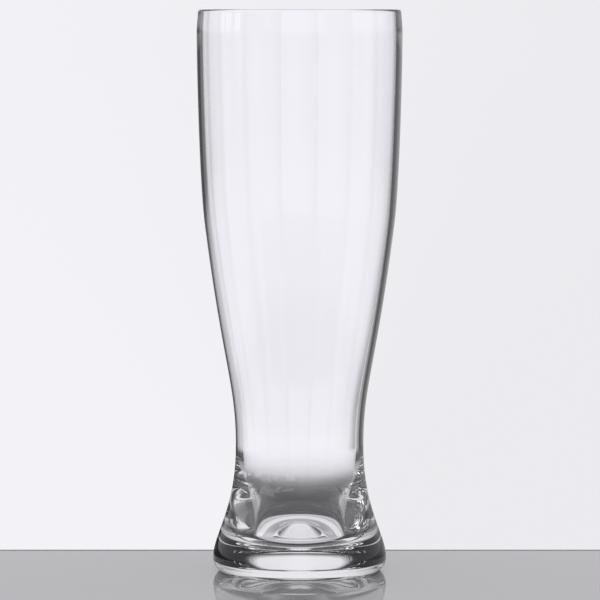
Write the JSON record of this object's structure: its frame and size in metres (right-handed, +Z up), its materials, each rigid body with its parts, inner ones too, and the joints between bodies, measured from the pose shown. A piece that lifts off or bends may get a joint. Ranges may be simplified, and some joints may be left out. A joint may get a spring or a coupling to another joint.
{
  "type": "pilsner glass",
  "caption": "Tall footed beer glass: a thin flared bowl narrows to a waist and is fused to a heavy, solid, rounded foot with a shallow recess beneath. Holds a poured drink.",
  "frame": {"origin": "centre of the standing ring, on the surface that the glass rests on", "axes": "+Z up along the axis of revolution, from the foot to the rim"},
  "size_m": [0.084, 0.084, 0.23],
  "materials": {
    "clear_glass": "fire-polished, clear and colourless"
  },
  "bodies": {
    "root": {"bowl": "clear_glass", "foot": "clear_glass"}
  },
  "joints": []
}
